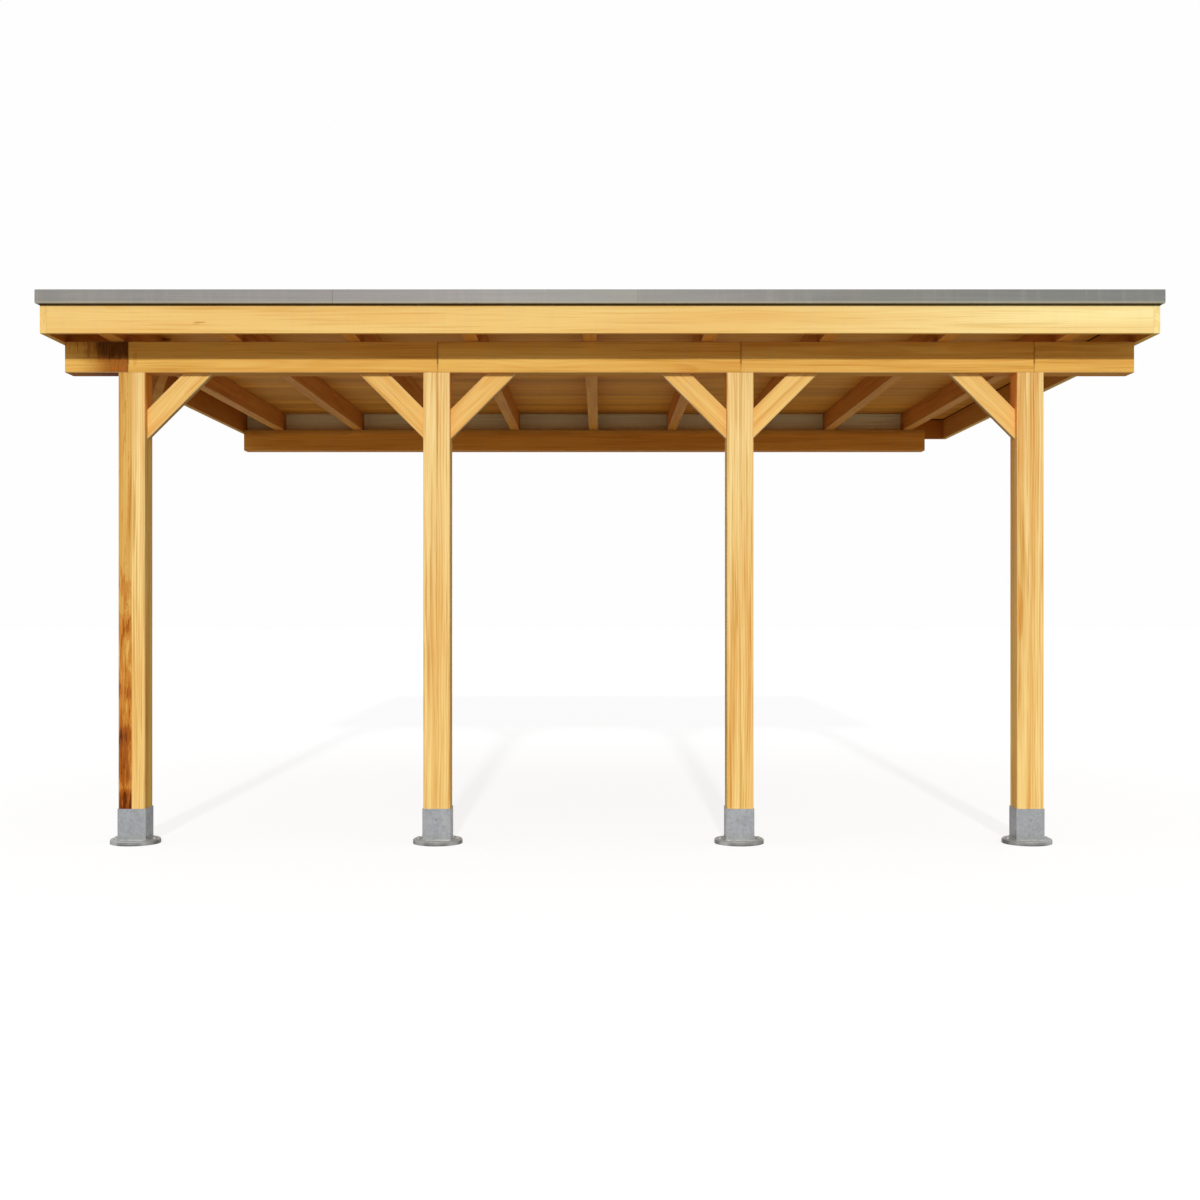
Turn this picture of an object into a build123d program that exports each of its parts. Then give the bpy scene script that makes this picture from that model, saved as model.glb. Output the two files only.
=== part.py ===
from build123d import *
import math
import os

# A lean-to carport of planed timber: four posts in steel shoes carry a spliced front beam, a rear
# beam is fixed to a wall, and nine rafters span between them under a flat boarded roof. Infill
# boards close the spaces between the rafters over the rear beam.
# Frame: +X along the roof's length, +Y towards the wall, +Z up. The origin is on the back face of
# the rear beam, at the middle of its height and at the middle of the roof's length.

# Driving dimensions, in millimetres

clear_height = 2130         # ground to the underside of the beams
clear_depth = 3400          # front beam to rear beam, face to face
bay_lengths = [1375, 1370, 1309]  # post centre to post centre, from the left
left_overhang = 328.5       # roof end to the first post's centre
right_overhang = 499.5      # last post's centre to the roof end
front_overhang = 238        # fascia face in front of the front beam
rear_overhang = 310         # roof edge behind the wall face

post_size = 120
post_edge = 4               # chamfer along the posts
beam_depth = 120
beam_height = 140
beam_edge = 3
front_beam_gaps = (0, 4)    # from the verge boards' inner faces to the beam's left and right ends
rear_beam_gaps = (0, 212)
splice_shift = [-16, 5, 3, 17]  # beam joints, off the posts' centres
splice_gap = 0.8

brace_width = 95
brace_thickness = 40
brace_leg = 295             # along the post and along the beam
back_brace_drop = 90        # its foot is this much lower than the others'
brace_edge = 3

rafter_count = 9
rafter_width = 60
rafter_height = 120
rafter_edge = 3
rafter_left_inset = 264     # roof end to the first rafter's centre
rafter_right_inset = 354
infill_thickness = 20       # boards between the rafters, on the rear beam
infill_fit = 0.5
infill_edge = 2

fascia_thickness = 28
fascia_edge = 2
fascia_fit = 0.5            # fascia's ends to the verge boards
front_board_drop = 5        # front fascia's lower edge, under the beam's top
rear_board_drop = 18        # the same for the rear fascia and for the verge boards
deck_thickness = 19
deck_fit = 2                # deck's edges to the boards around it
membrane_thickness = 3

trim_sheet = 2
trim_stand = 15             # air gap between the fascia and the trim
trim_height = 61
trim_rise = 45              # top of the trim over the deck
trim_lip = 8
trim_kerb = 30              # kerb's width, in from the roof edge
trim_flange = 40
trim_mitre_gap = 0.5

shoe_wall = 3.5
shoe_fit = 0.5              # post to sleeve
shoe_height = 162
shoe_corner = 5             # outer corner radius of the folded sleeve
flange_diameter = 224
flange_thickness = 20
flange_bevel = 4
anchor_spacing = 174        # the two anchor holes, left and right of the sleeve
anchor_hole_radius = 6

# Levels and lines that follow from them

roof_length = left_overhang + sum(bay_lengths) + right_overhang
left_x = -roof_length / 2
right_x = roof_length / 2
verge_left_x = left_x + fascia_thickness      # inner faces of the verge boards
verge_right_x = right_x - fascia_thickness
first_post_x = left_x + left_overhang
post_xs = [first_post_x + sum(bay_lengths[:n]) for n in range(len(bay_lengths) + 1)]
rafter_pitch = (roof_length - rafter_left_inset - rafter_right_inset) / (rafter_count - 1)
rafter_xs = [left_x + rafter_left_inset + n * rafter_pitch for n in range(rafter_count)]

beam_bottom = -beam_height / 2
beam_top = beam_height / 2
ground_z = beam_bottom - clear_height
flange_top = ground_z + flange_thickness
deck_bottom = beam_top + rafter_height
deck_top = deck_bottom + deck_thickness

rear_beam_y = -beam_depth / 2
front_beam_y = -beam_depth - clear_depth - beam_depth / 2
front_y = front_beam_y - beam_depth / 2 - front_overhang
rear_y = rear_overhang
roof_depth = rear_y - front_y
roof_mid_y = (front_y + rear_y) / 2
# the posts' front faces are flush with the front beam's
post_y = front_beam_y - beam_depth / 2 + post_size / 2

os.makedirs("parts", exist_ok=True)


def save(piece, name):
    piece.part.label = name
    export_step(piece.part, f"parts/{name}.step")


def bar_along_x(name, x_start, x_end, y_mid, z_mid, depth, height, edge):
    with BuildPart() as bar:
        with BuildSketch(Plane.YZ.offset(x_start)):
            with Locations((y_mid, z_mid)):
                Rectangle(depth, height)
        extrude(amount=x_end - x_start)
        chamfer(bar.edges().filter_by(Axis.X), length=edge)
    save(bar, name)


def bar_along_y(name, y_start, y_end, x_mid, z_mid, width, height, edge):
    with BuildPart() as bar:
        with BuildSketch(Plane.XZ.offset(-y_end)):
            with Locations((x_mid, z_mid)):
                Rectangle(width, height)
        extrude(amount=y_end - y_start)
        chamfer(bar.edges().filter_by(Axis.Y), length=edge)
    save(bar, name)


# Posts, each standing on the flange inside its shoe

for number, x in enumerate(post_xs, 1):
    with BuildPart() as post:
        with BuildSketch(Plane.XY.offset(flange_top)):
            with Locations((x, post_y)):
                Rectangle(post_size, post_size)
        extrude(amount=beam_bottom - flange_top)
        chamfer(post.edges().filter_by(Axis.Z), length=post_edge)
    save(post, f"post_{number}")

# Steel shoes: a folded square sleeve on a round flange with two anchor holes

sleeve_inner = post_size + 2 * shoe_fit
sleeve_outer = sleeve_inner + 2 * shoe_wall
for number, x in enumerate(post_xs, 1):
    with BuildPart() as post_shoe:
        with BuildSketch(Plane.XY.offset(ground_z)):
            with Locations((x, post_y)):
                Circle(flange_diameter / 2)
        extrude(amount=flange_thickness)
        chamfer(post_shoe.faces().sort_by(Axis.Z)[-1].edges(), length=flange_bevel)
        with BuildSketch(Plane.XY.offset(flange_top)):
            with Locations((x, post_y)):
                RectangleRounded(sleeve_outer, sleeve_outer, shoe_corner)
                RectangleRounded(
                    sleeve_inner, sleeve_inner, shoe_corner - shoe_wall, mode=Mode.SUBTRACT
                )
        extrude(amount=shoe_height - flange_thickness)
        with BuildSketch(Plane.XY.offset(ground_z)):
            with Locations((x, post_y)):
                with GridLocations(anchor_spacing, 0, 2, 1):
                    Circle(anchor_hole_radius)
        extrude(amount=flange_thickness, mode=Mode.SUBTRACT)
    save(post_shoe, f"post_shoe_{number}")

# Front beam: a short piece at each end and one for each bay, spliced over the posts

splice_xs = [x + shift for x, shift in zip(post_xs, splice_shift)]
front_start = verge_left_x + front_beam_gaps[0]
front_end = verge_right_x - front_beam_gaps[1]
beam_starts = [front_start] + [x + splice_gap / 2 for x in splice_xs]
beam_ends = [x - splice_gap / 2 for x in splice_xs] + [front_end]
bay_names = [f"front_beam_bay_{n}" for n in range(1, len(bay_lengths) + 1)]
beam_names = ["front_beam_left_end"] + bay_names + ["front_beam_right_end"]
for name, x_start, x_end in zip(beam_names, beam_starts, beam_ends):
    bar_along_x(name, x_start, x_end, front_beam_y, 0, beam_depth, beam_height, beam_edge)

# Rear beam, well short of the roof's end at the right; its back face is the wall face

rear_start = verge_left_x + rear_beam_gaps[0]
rear_end = verge_right_x - rear_beam_gaps[1]
bar_along_x(
    "rear_beam", rear_start, rear_end, rear_beam_y, 0, beam_depth, beam_height, beam_edge
)

# Braces at 45 degrees: from the posts' sides up to the beam, on the inner sides of the row, and one
# from the first post's rear face back and up along the first rafter's inner side


def brace(name, plane, corner, direction, leg):
    """corner: where the post's face meets the timber above, in the plane's own two axes."""
    cut = brace_width * math.sqrt(2)
    with BuildPart() as strut:
        with BuildSketch(plane):
            with BuildLine(Location(corner)):
                Polyline(
                    (0, -leg),
                    (0, -leg + cut),
                    (direction * (leg - cut), 0),
                    (direction * leg, 0),
                    close=True,
                )
            make_face()
        extrude(amount=brace_thickness / 2, both=True)
        slope = Axis(plane.origin, plane.x_dir * direction + plane.y_dir)
        chamfer(strut.edges().filter_by(slope), length=brace_edge)
    save(strut, name)


row_plane = Plane.XZ.offset(-post_y)
for number, x in enumerate(post_xs, 1):
    if number > 1:
        brace(f"brace_post_{number}_left", row_plane, (x - post_size / 2, beam_bottom), -1, brace_leg)
    if number < len(post_xs):
        brace(f"brace_post_{number}_right", row_plane, (x + post_size / 2, beam_bottom), 1, brace_leg)
back_brace_x = rafter_xs[0] + rafter_width / 2 + brace_thickness / 2
back_brace_leg = brace_leg + back_brace_drop + beam_height + rafter_height
brace(
    "brace_post_1_back", Plane.YZ.offset(back_brace_x), (post_y + post_size / 2, deck_bottom), 1,
    back_brace_leg,
)

# Rafters, from the front fascia to the rear fascia over both beams

for number, x in enumerate(rafter_xs, 1):
    bar_along_y(
        f"rafter_{number}", front_y + fascia_thickness, rear_y - fascia_thickness, x,
        beam_top + rafter_height / 2, rafter_width, rafter_height, rafter_edge,
    )

# Infill boards stand on the rear beam, their backs in the wall face, between the rafters and from
# the first rafter to the verge board

infill_starts = [verge_left_x] + [x + rafter_width / 2 for x in rafter_xs[:-1]]
infill_ends = [x - rafter_width / 2 for x in rafter_xs]
for number, (x_start, x_end) in enumerate(zip(infill_starts, infill_ends), 1):
    bar_along_x(
        f"rafter_infill_{number}", x_start + infill_fit, x_end - infill_fit, -infill_thickness / 2,
        beam_top + rafter_height / 2, infill_thickness, rafter_height, infill_edge,
    )

# Verge boards run the full depth, cut back to the front fascia's lower edge as far as the front
# beam; the fascias fit between them


def board_span(drop):
    """Middle height and height of a board from the deck's top down past the beam's top."""
    low = beam_top - drop
    return (low + deck_top) / 2, deck_top - low


front_mid_z, front_board_height = board_span(front_board_drop)
rear_mid_z, rear_board_height = board_span(rear_board_drop)
for side, x in (("left", left_x + fascia_thickness / 2), ("right", right_x - fascia_thickness / 2)):
    with BuildPart() as verge_board:
        with BuildSketch(Plane.XZ.offset(-rear_y)):
            with Locations((x, rear_mid_z)):
                Rectangle(fascia_thickness, rear_board_height)
        extrude(amount=roof_depth)
        chamfer(verge_board.edges().filter_by(Axis.Y), length=fascia_edge)
        cut_depth = front_overhang + beam_depth
        with Locations((x, front_y + cut_depth / 2, beam_top - rear_board_drop)):
            Box(
                fascia_thickness, cut_depth, 2 * (rear_board_drop - front_board_drop),
                mode=Mode.SUBTRACT,
            )
    save(verge_board, f"verge_board_{side}")

fascia_start = verge_left_x + fascia_fit
fascia_end = verge_right_x - fascia_fit
for name, y, z, height in (
    ("front_fascia", front_y + fascia_thickness / 2, front_mid_z, front_board_height),
    ("rear_fascia", rear_y - fascia_thickness / 2, rear_mid_z, rear_board_height),
):
    bar_along_x(name, fascia_start, fascia_end, y, z, fascia_thickness, height, fascia_edge)

# Deck on the rafters, inside the boards, and the membrane over everything

with BuildPart() as roof_deck:
    with BuildSketch(Plane.XY.offset(deck_bottom)):
        with Locations((0, roof_mid_y)):
            Rectangle(
                roof_length - 2 * fascia_thickness - 2 * deck_fit,
                roof_depth - 2 * fascia_thickness - 2 * deck_fit,
            )
    extrude(amount=deck_thickness)
save(roof_deck, "roof_deck")

with BuildPart() as roof_membrane:
    with BuildSketch(Plane.XY.offset(deck_top)):
        with Locations((0, roof_mid_y)):
            Rectangle(roof_length, roof_depth)
    extrude(amount=membrane_thickness)
save(roof_membrane, "roof_membrane")

# Folded metal edge trim: a kerb on the membrane, a face in front of the boards and a drip lip.
# Its section is drawn with +u outwards from the roof edge and +w up from the deck's top.


def trim_outline(edge, outward):
    """edge: the roof edge's place across the trim; outward: +1 or -1 along that axis."""
    face = trim_stand + trim_sheet
    bottom = trim_rise - trim_height
    seat = membrane_thickness
    outline = [
        (face, trim_rise),
        (-trim_kerb, trim_rise),
        (-trim_kerb, seat + trim_sheet),
        (-trim_kerb - trim_flange, seat + trim_sheet),
        (-trim_kerb - trim_flange, seat),
        (-trim_kerb + trim_sheet, seat),
        (-trim_kerb + trim_sheet, trim_rise - trim_sheet),
        (trim_stand, trim_rise - trim_sheet),
        (trim_stand, bottom + trim_sheet),
        (trim_stand - trim_lip, bottom + trim_sheet),
        (trim_stand - trim_lip, bottom),
        (face, bottom),
    ]
    return [(edge + outward * u, deck_top + w) for u, w in outline]


def mitre(corner_x, corner_y, keep_x, keep_y):
    """Cuts the trim at 45 degrees through a roof corner and keeps the side that (keep_x, keep_y)
    points to."""
    plane = Plane(origin=(corner_x, corner_y, 0), z_dir=(keep_x, keep_y, 0))
    split(bisect_by=plane.offset(trim_mitre_gap / 2), keep=Keep.TOP)


trim_reach = trim_stand + trim_sheet
for name, y, outward in (("edge_trim_front", front_y, -1), ("edge_trim_rear", rear_y, 1)):
    with BuildPart() as long_trim:
        with BuildSketch(Plane.YZ.offset(left_x - trim_reach)):
            with BuildLine():
                Polyline(trim_outline(y, outward), close=True)
            make_face()
        extrude(amount=roof_length + 2 * trim_reach)
        mitre(left_x, y, 1, outward)
        mitre(right_x, y, -1, outward)
    save(long_trim, name)

for name, x, outward in (("edge_trim_left", left_x, -1), ("edge_trim_right", right_x, 1)):
    with BuildPart() as side_trim:
        with BuildSketch(Plane.XZ.offset(-rear_y - trim_reach)):
            with BuildLine():
                Polyline(trim_outline(x, outward), close=True)
            make_face()
        extrude(amount=roof_depth + 2 * trim_reach)
        mitre(x, front_y, outward, 1)
        mitre(x, rear_y, outward, -1)
    save(side_trim, name)
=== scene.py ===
import math
import random
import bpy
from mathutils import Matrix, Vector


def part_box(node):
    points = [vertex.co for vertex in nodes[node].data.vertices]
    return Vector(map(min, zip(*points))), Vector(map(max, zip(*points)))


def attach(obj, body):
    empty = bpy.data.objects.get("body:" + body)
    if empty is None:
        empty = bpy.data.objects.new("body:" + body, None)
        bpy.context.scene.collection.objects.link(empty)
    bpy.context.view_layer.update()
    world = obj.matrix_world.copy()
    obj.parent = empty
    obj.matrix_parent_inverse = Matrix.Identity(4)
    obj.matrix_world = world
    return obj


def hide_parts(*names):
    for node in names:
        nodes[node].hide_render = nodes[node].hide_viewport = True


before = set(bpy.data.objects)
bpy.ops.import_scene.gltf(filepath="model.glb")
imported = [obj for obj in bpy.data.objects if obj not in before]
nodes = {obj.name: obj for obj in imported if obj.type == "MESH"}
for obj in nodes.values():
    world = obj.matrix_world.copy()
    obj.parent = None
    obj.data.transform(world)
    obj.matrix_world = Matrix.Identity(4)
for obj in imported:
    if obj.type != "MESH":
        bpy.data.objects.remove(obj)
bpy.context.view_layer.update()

from types import SimpleNamespace

import bmesh
import bpy
from mathutils import Euler, Vector

scene = bpy.context.scene
quarterTurn = math.radians(90)
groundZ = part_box("post_shoe_1")[0].z
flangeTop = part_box("post_1")[0].z  # the posts stand on their shoes' flanges
print("frame loaded:", len(nodes), "parts")


def middleOf(name):
    low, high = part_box(name)
    return (low + high) / 2


def tint(red, green, blue):
    # a colour as a paint chart gives it, 0 to 255, turned into scene values
    def linear(c):
        c = c / 255
        return c / 12.92 if c <= 0.04045 else ((c + 0.055) / 1.055) ** 2.4
    return (linear(red), linear(green), linear(blue), 1.0)


def addObject(name, data):
    thing = bpy.data.objects.new(name, data)
    scene.collection.objects.link(thing)
    return thing


# The camera looks straight at the open long side

camera = {
    "toPosts": 7.0,  # from the lens to the posts' front faces
    "eyeHeight": 1.079,  # above the ground
    "lens": 46.56,
    "rise": 0.0046,  # a slight lens shift, so that the roof isn't cut
}

eye = addObject("camera", bpy.data.cameras.new("camera"))
eye.data.lens = camera["lens"]
eye.data.shift_y = camera["rise"]
eye.location = (0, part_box("post_1")[0].y - camera["toPosts"], groundZ + camera["eyeHeight"])
eye.rotation_euler = (quarterTurn, 0, 0)
scene.camera = eye
print("camera placed")


# Helpers for all node trees

bench = SimpleNamespace()  # bench.tree is the tree that the helpers add to


def put(kind, inputs=None, **settings):
    # adds a shader node, or another kind of node where the kind says so;
    # inputs holds plain values or the sockets that feed them
    node = bench.tree.nodes.new(kind if "Node" in kind else "ShaderNode" + kind)
    for key, value in settings.items():
        setattr(node, key, value)
    for key, value in (inputs or {}).items():
        if isinstance(value, bpy.types.NodeSocket):
            bench.tree.links.new(value, node.inputs[key])
        else:
            node.inputs[key].default_value = value
    return node


def firstOut(kind, inputs=None, **settings):
    return put(kind, inputs, **settings).outputs[0]


def calc(operation, a, b=0.0, c=0.0):
    return firstOut("Math", {0: a, 1: b, 2: c}, operation=operation)


def times(a, b):
    return calc("MULTIPLY", a, b)


def plus(a, b):
    return calc("ADD", a, b)


def minus(a, b):
    return calc("SUBTRACT", a, b)


def timesPlus(a, b, c):
    return calc("MULTIPLY_ADD", a, b, c)


def vectorCalc(operation, a, b=(0, 0, 0)):
    return firstOut("VectorMath", {0: a, 1: b}, operation=operation)


def scaled(a, b):
    return vectorCalc("MULTIPLY", a, b)


def grown(vector, amount):
    # the whole vector times one number
    inputs = {0: vector, "Scale": amount}
    return firstOut("VectorMath", inputs, operation="SCALE")


def lengthOf(vector):
    return put("VectorMath", {0: vector}, operation="LENGTH").outputs["Value"]


def parts(vector):
    return put("SeparateXYZ", {0: vector}).outputs


def vectorOf(x=0.0, y=0.0, z=0.0):
    return firstOut("CombineXYZ", {0: x, 1: y, 2: z})


def stretch(value, low, high, toLow=0.0, toHigh=1.0, smooth=True):
    inputs = {"Value": value, "From Min": low, "From Max": high, "To Min": toLow, "To Max": toHigh}
    kind = "SMOOTHSTEP" if smooth else "LINEAR"
    return firstOut("MapRange", inputs, interpolation_type=kind)


def blend(amount, under, over, how="MIX"):
    inputs = {0: amount, 6: under, 7: over}
    return put("Mix", inputs, data_type="RGBA", blend_type=how).outputs[2]


def tinted(shade, over, amount=1.0):
    # the shade multiplied by another colour, as far as the amount says
    return blend(amount, shade, over, "MULTIPLY")


def noise(where, scale=1.0, detail=2.0, roughness=0.5, output=0):
    inputs = {"Vector": where, "Scale": scale, "Detail": detail, "Roughness": roughness}
    return put("TexNoise", inputs).outputs[output]


def wander(where, scale=1.0):
    # a soft noise in three directions, around zero
    return vectorCalc("SUBTRACT", noise(where, scale, output="Color"), (0.5, 0.5, 0.5))


def ramp(amount, stops):
    node = put("ValToRGB", {0: amount})
    while len(node.color_ramp.elements) < len(stops):
        node.color_ramp.elements.new(0.5)
    for element, (place, shade) in zip(node.color_ramp.elements, stops):
        element.position = place
        element.color = shade
    return node.outputs[0]


def facingOf():
    return put("NewGeometry").outputs["True Normal"]


def objectPlace():
    return put("TexCoord").outputs["Object"]


def attributeOf(name):
    return put("Attribute", attribute_name=name).outputs["Fac"]


def addSocket(side, label, kind):
    interface = bench.tree.interface
    return interface.new_socket(label, in_out=side, socket_type="NodeSocket" + kind)


def addInputs(values):
    # one named input for each value, of that value's kind
    for label, value in values.items():
        kind = "Int" if isinstance(value, int) else "Float"
        if isinstance(value, bpy.types.Material):
            kind = "Material"
        elif isinstance(value, tuple):
            kind = "Color" if len(value) == 4 else "Vector"
        addSocket("INPUT", label, kind).default_value = value
    sockets = put("NodeGroupInput").outputs
    return SimpleNamespace(**{socket.name: socket for socket in sockets if socket.name})


def startGroup(name, values):
    bench.tree = bpy.data.node_groups.new(name, "ShaderNodeTree")
    return addInputs(values)


def endGroup(results):
    for label in results:
        addSocket("OUTPUT", label, "Color" if label == "Color" else "Float")
    put("NodeGroupOutput", results)
    return bench.tree


def useGroup(group, spec=(), **inputs):
    # the spec fills the inputs that have the same names as its entries
    labels = [item.name for item in group.interface.items_tree if item.in_out == "INPUT"]
    inputs = {**{label: spec[label] for label in labels if label in spec}, **inputs}
    return put("Group", inputs, node_tree=group).outputs


def layered(group, shade, spec=(), **inputs):
    return useGroup(group, spec, Color=shade, **inputs)["Color"]


def clearNodes(owner):
    # empties the tree of a material or world, which is built next
    owner.use_nodes = True
    bench.tree = owner.node_tree
    bench.tree.nodes.clear()


def newMaterial(name):
    material = bpy.data.materials.new(name)
    clearNodes(material)
    return material


def finishMaterial(material, shade, roughness, height, spec):
    bump = firstOut("Bump", {"Height": height, "Distance": spec["bumpDepth"]})
    shader = firstOut("BsdfPrincipled", {
        "Base Color": shade, "Roughness": roughness, "Normal": bump,
        "Specular IOR Level": spec["shine"], "Metallic": spec.get("metallic", 0.0)})
    put("OutputMaterial", {"Surface": shader})
    return material


def dress(name, material):
    # gives a part of the frame its finish
    piece = nodes[name]
    piece.data.materials.clear()
    piece.data.materials.append(material)


# Timber: the values that every piece starts from

timber = {
    "pale": tint(238, 203, 133), "deep": tint(206, 140, 58), "ringSpacing": 0.0065,
    "rings": 0.2, "streaks": 0.42, "fibres": 0.3, "lines": 0.55, "knots": 0.0,
    # painted light and shade by facing: the side and below tints colour faces that look sideways
    # or down
    "sides": 0.4, "sideTint": (0.92, 0.74, 0.5, 1),
    "below": 1.0, "belowTint": (0.8, 0.62, 0.22, 1),
    # the edge colour below is that of the narrow edge faces: partly wear, partly painted highlight
    "worn": tint(246, 220, 165), "wear": 0.35, "dustOnTop": 0.35, "dustStreaks": 0.05,
    "shine": 0.02,  # specular level, low because the bare grain scatters
    "bumpDepth": 0.0004,
    "heart": 0.075,  # how far the log's heart lies from the piece's middle, at most
    "heartShare": (0.4, 1),  # sideways it takes between these shares of that
    "slide": 3,  # how far along the log the piece may lie, either way
    "seamWidths": (0.0028, 0.0008),  # where two glued boards meet, outer and inner
    "seamTint": (0.86, 0.74, 0.58, 1), "seamAmount": 0.55,
    "halfJump": (5.3, 0.04, -0.11),  # from one glued board's grain to the other's
    "boardJump": (31.0, 1.7, 0.9),  # as far as loose boards' grains lie apart
    "boardTones": (0.82, 1.12),  # darkest and lightest loose board
}

# Effects that several materials share. A pair such as "line" says from which value an effect
# comes in and at which it shows in full.

grey = (0.5, 0.5, 0.5, 1)
turned = (0.5, 0.95)  # how far a face has to look one way before it counts as doing so
grain = {
    # how often each feature repeats along and across the fibres
    "wander": (0.9, 4.0, 4.0), "bend": (0, 0.05, 0.05), "lineBend": (0, 1.5, 1.5),
    "streaks": (0.8, 26, 26), "fibres": (7, 230, 230), "patches": (0.7, 3, 3),
    "lines": (1.7, 88, 88), "lineTint": (0.74, 0.6, 0.34, 1),
    "knotCells": 5.5, "knot": tint(104, 58, 22), "knotSwell": 0.012,
    "core": (0.045, 0.02), "halo": (0.16, 0.03), "haloTone": 0.35,  # of a knot
    "late": (0.25, 0.85), "lateEnd": (1.0, 0.9),  # the dark part of each ring
    "streak": (0.36, 0.68), "line": (0.52, 0.7),
    "patch": (0.35, 0.7), "patchTone": 0.16, "fibreMiddle": 0.45,
    "roughness": 0.45, "fibreRough": 0.25, "fibreHeight": 0.7, "lateHeight": 0.3,
}


def partOf(spec, names):
    return {name: spec[name] for name in names.split()}


def makePlanedGrain():
    # sawn softwood: the log's axis lies along X, so end faces show rings and sides show flames
    names = "pale deep ringSpacing rings streaks fibres lines knots"
    given = startGroup("planedGrain", {"Vector": (0, 0, 0), **partOf(timber, names)})
    where = given.Vector
    drift = wander(scaled(where, grain["wander"]))
    bent = vectorCalc("ADD", where, scaled(drift, grain["bend"]))
    cells = put("TexVoronoi", {"Vector": where, "Scale": grain["knotCells"]}).outputs
    chosen = firstOut("SeparateColor", {0: cells["Color"]})
    chosen = calc("LESS_THAN", chosen, given.knots)
    core = times(stretch(cells["Distance"], *grain["core"]), chosen)
    halo = times(stretch(cells["Distance"], *grain["halo"]), chosen)
    apart = parts(bent)
    radius = lengthOf(vectorOf(0.0, apart[1], apart[2]))
    radius = timesPlus(halo, grain["knotSwell"], radius)
    turn = calc("FRACT", calc("DIVIDE", radius, given.ringSpacing))
    late = times(stretch(turn, *grain["late"]), stretch(turn, *grain["lateEnd"]))
    streak = noise(scaled(where, grain["streaks"]), detail=3.0, roughness=0.6)
    fibre = noise(scaled(where, grain["fibres"]))
    patch = noise(scaled(where, grain["patches"]), detail=1.0)
    tone = times(late, given.rings)
    tone = timesPlus(stretch(streak, *grain["streak"]), given.streaks, tone)
    tone = timesPlus(minus(fibre, grain["fibreMiddle"]), given.fibres, tone)
    tone = timesPlus(stretch(patch, *grain["patch"]), grain["patchTone"], tone)
    tone = timesPlus(halo, grain["haloTone"], tone)
    wood = blend(tone, given.pale, given.deep)
    lineAt = vectorCalc("ADD", scaled(where, grain["lines"]), scaled(drift, grain["lineBend"]))
    line = stretch(noise(lineAt, roughness=0.55), *grain["line"])
    wood = tinted(wood, grain["lineTint"], times(line, given.lines))
    wood = blend(core, wood, grain["knot"])
    rough = timesPlus(fibre, grain["fibreRough"], grain["roughness"])
    height = minus(times(fibre, grain["fibreHeight"]), times(late, grain["lateHeight"]))
    return endGroup({"Color": wood, "Roughness": rough, "Height": height})


def makeArrisWearAndHighlight():
    # the narrow faces along planed or folded edges are paler, but not evenly: partly wear from
    # handling, partly a painted highlight on the rounded edges
    narrow, patchScale, patch, least = (0.95, 0.8), 9.0, (0.3, 0.65), 0.35
    given = startGroup("arrisWearAndHighlight", {"Color": grey, **partOf(timber, "worn wear")})
    facing = parts(vectorCalc("ABSOLUTE", facingOf()))
    most = calc("MAXIMUM", calc("MAXIMUM", facing[0], facing[1]), facing[2])
    uneven = stretch(noise(objectPlace(), patchScale, detail=3.0), *patch, least)
    mask = times(times(stretch(most, *narrow), uneven), given.wear)
    return endGroup({"Color": blend(mask, given.Color, given.worn)})


def makePaintedFacingShade():
    # painted shade: faces that look sideways or down are tinted, mostly deeper and warmer, as
    # shade makes them look; a side tint above 1 paints light instead
    names = "sides sideTint below belowTint"
    given = startGroup("paintedFacingShade", {"Color": grey, **partOf(timber, names)})
    facing = parts(facingOf())
    sideways = stretch(calc("ABSOLUTE", facing[0]), *turned)
    down = stretch(times(facing[2], -1.0), *turned)
    shade = tinted(given.Color, given.sideTint, times(sideways, given.sides))
    under = tinted(given.Color, given.belowTint)
    return endGroup({"Color": blend(times(down, given.below), shade, under)})


def makeStain():
    # an uneven patch with a ragged edge, such as resin, damp or a dark knot
    edge, swing = (1.15, 0.65), 4.0  # as shares of its reach
    given = startGroup("stain", {
        "Vector": (0, 0, 0), "Color": grey, "centre": (0, 0, 0), "reach": (0.1, 0.1, 0.1),
        "stain": grey, "amount": 1.0, "ragged": 0.5, "grain": (30, 30, 5)})
    away = vectorCalc("SUBTRACT", given.Vector, given.centre)
    far = lengthOf(vectorCalc("DIVIDE", away, given.reach))
    rough = noise(scaled(given.Vector, given.grain), detail=4.0, roughness=0.6)
    far = timesPlus(times(minus(rough, 0.5), given.ragged), swing, far)
    mask = times(stretch(far, *edge), given.amount)
    return endGroup({"Color": blend(mask, given.Color, given.stain)})


def makeRunStain():
    # water and resin that have run down the grain: broken streaks, darkest in their middles
    swirlScale, swirlReach = 0.5, (2.2, 2.2, 2.2)
    given = startGroup("runStain", {
        "Vector": (0, 0, 0), "Color": grey, "amount": 0.4, "grain": (60, 60, 7),
        "light": grey, "middle": grey, "dark": grey})
    across = scaled(given.Vector, given.grain)
    swirl = scaled(wander(across, swirlScale), swirlReach)
    streak = noise(vectorCalc("ADD", across, swirl), detail=6.0, roughness=0.66)
    level = plus(streak, minus(given.amount, 1.0))
    shade = given.Color
    for over, low, high, most in ((given.light, -0.03, 0.05, 0.85),
                                  (given.middle, 0.1, 0.2, 0.9), (given.dark, 0.26, 0.38, 1.0)):
        shade = blend(stretch(level, low, high, 0.0, most), shade, over)
    return endGroup({"Color": shade})


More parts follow.
